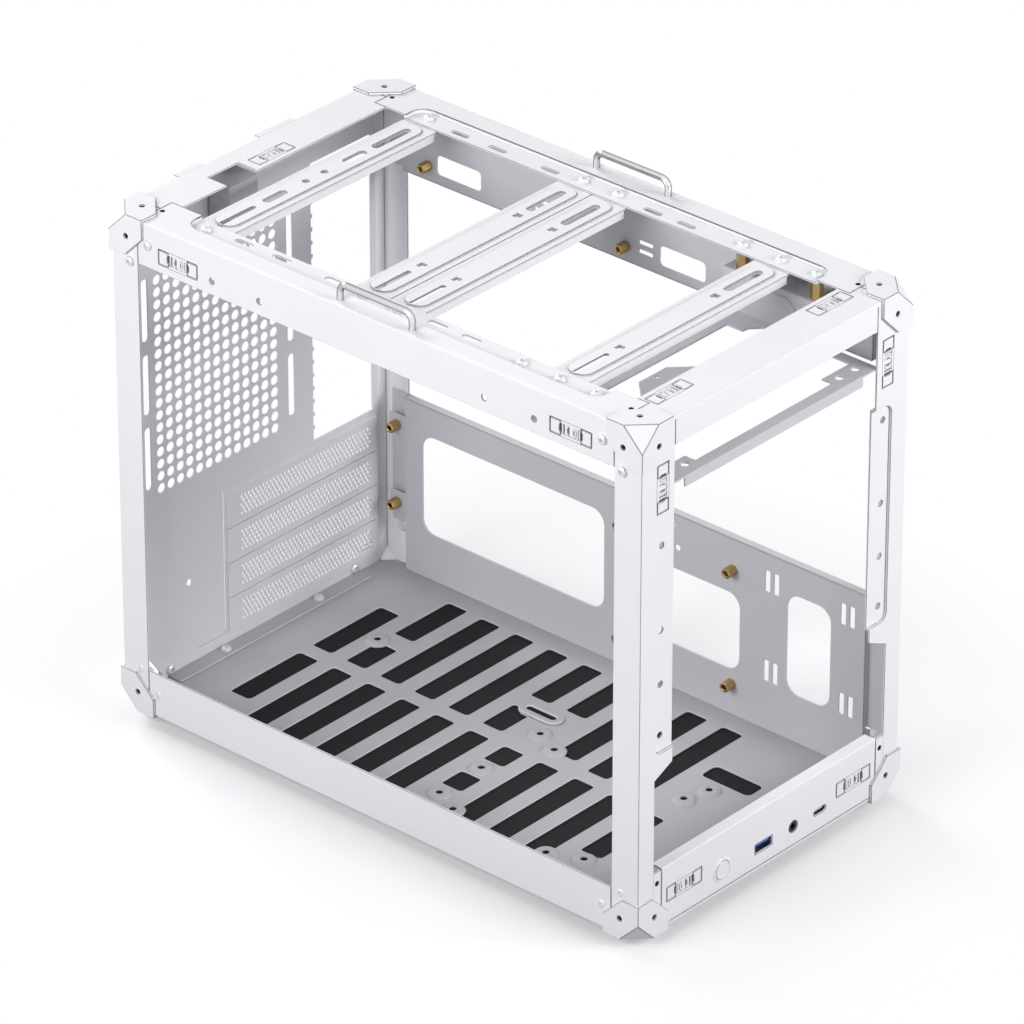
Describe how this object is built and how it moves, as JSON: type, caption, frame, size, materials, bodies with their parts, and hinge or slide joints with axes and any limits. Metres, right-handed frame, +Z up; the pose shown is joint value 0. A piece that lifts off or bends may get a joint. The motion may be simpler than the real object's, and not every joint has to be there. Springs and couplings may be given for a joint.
{
  "type": "computer case",
  "caption": "Open-frame desktop computer case in white sheet steel, with a perforated rear panel, board trays, top brackets, hexagonal corner caps and wire handles.",
  "frame": {"origin": "middle of the case's outer box, on the plane that its feet stand on", "axes": "+X to the board tray side, +Y to the rear panel, +Z up"},
  "size_m": [0.2008, 0.3482, 0.298],
  "materials": {
    "white_sheet": "white powder coat, slightly textured",
    "white_plastic": "white moulded plastic",
    "black_mesh": "fine black mesh",
    "black_rubber": "matte black rubber",
    "brass": "plain turned brass",
    "chrome": "bright chrome",
    "screw_steel": "zinc-plated steel",
    "port_steel": "stamped nickel-plated shell",
    "blue_plastic": "blue moulded plastic",
    "black_plastic": "black moulded plastic",
    "grey_plastic": "light grey moulded plastic",
    "board": "dark green circuit board"
  },
  "bodies": {
    "frame": {"base_pan": "white_sheet", "post_front_left": "white_sheet", "post_front_right": "white_sheet", "post_rear_left": "white_sheet", "post_rear_right": "white_sheet", "rail_left": "white_sheet", "rail_right": "white_sheet", "rail_front": "white_sheet", "rail_rear": "white_sheet", "cap_bottom_front_left": "white_sheet", "cap_bottom_front_right": "white_sheet", "cap_bottom_rear_left": "white_sheet", "cap_bottom_rear_right": "white_sheet", "cap_top_front_left": "white_sheet", "cap_top_front_right": "white_sheet", "cap_top_rear_left": "white_sheet", "cap_top_rear_right": "white_sheet", "rear_panel": "white_sheet", "slot_cover_1": "white_sheet", "slot_cover_2": "white_sheet", "slot_cover_3": "white_sheet", "slot_cover_4": "white_sheet", "tray_lower": "white_sheet", "tray_upper": "white_sheet", "fan_bracket_rear": "white_sheet", "fan_bracket_mid_rear": "white_sheet", "fan_bracket_mid_front": "white_sheet", "fan_bracket_front": "white_sheet", "psu_bracket": "white_sheet", "io_bracket": "white_sheet", "panel_clips": "white_plastic", "button_ring": "white_plastic", "dust_filter": "black_mesh", "feet": "black_rubber", "psu_standoffs": "brass", "board_standoffs": "brass", "handle_left": "chrome", "handle_right": "chrome", "bracket_screws": "screw_steel", "frame_screws": "screw_steel", "panel_screws": "screw_steel", "inlet_pins": "screw_steel", "usb_a_shell": "port_steel", "usb_c_port": "port_steel", "usb_a_tongue": "blue_plastic", "power_switch": "black_plastic", "audio_jack": "black_plastic", "ac_inlet": "grey_plastic", "io_board": "board"},
    "power_button": {"power_button": "white_plastic"}
  },
  "joints": [
    {"name": "power_button_press", "type": "slide", "parent": "frame", "child": "power_button", "axis": [0, 1, 0], "range_m": [0, 0.0012], "stiffness_N_per_m": 500}
  ]
}
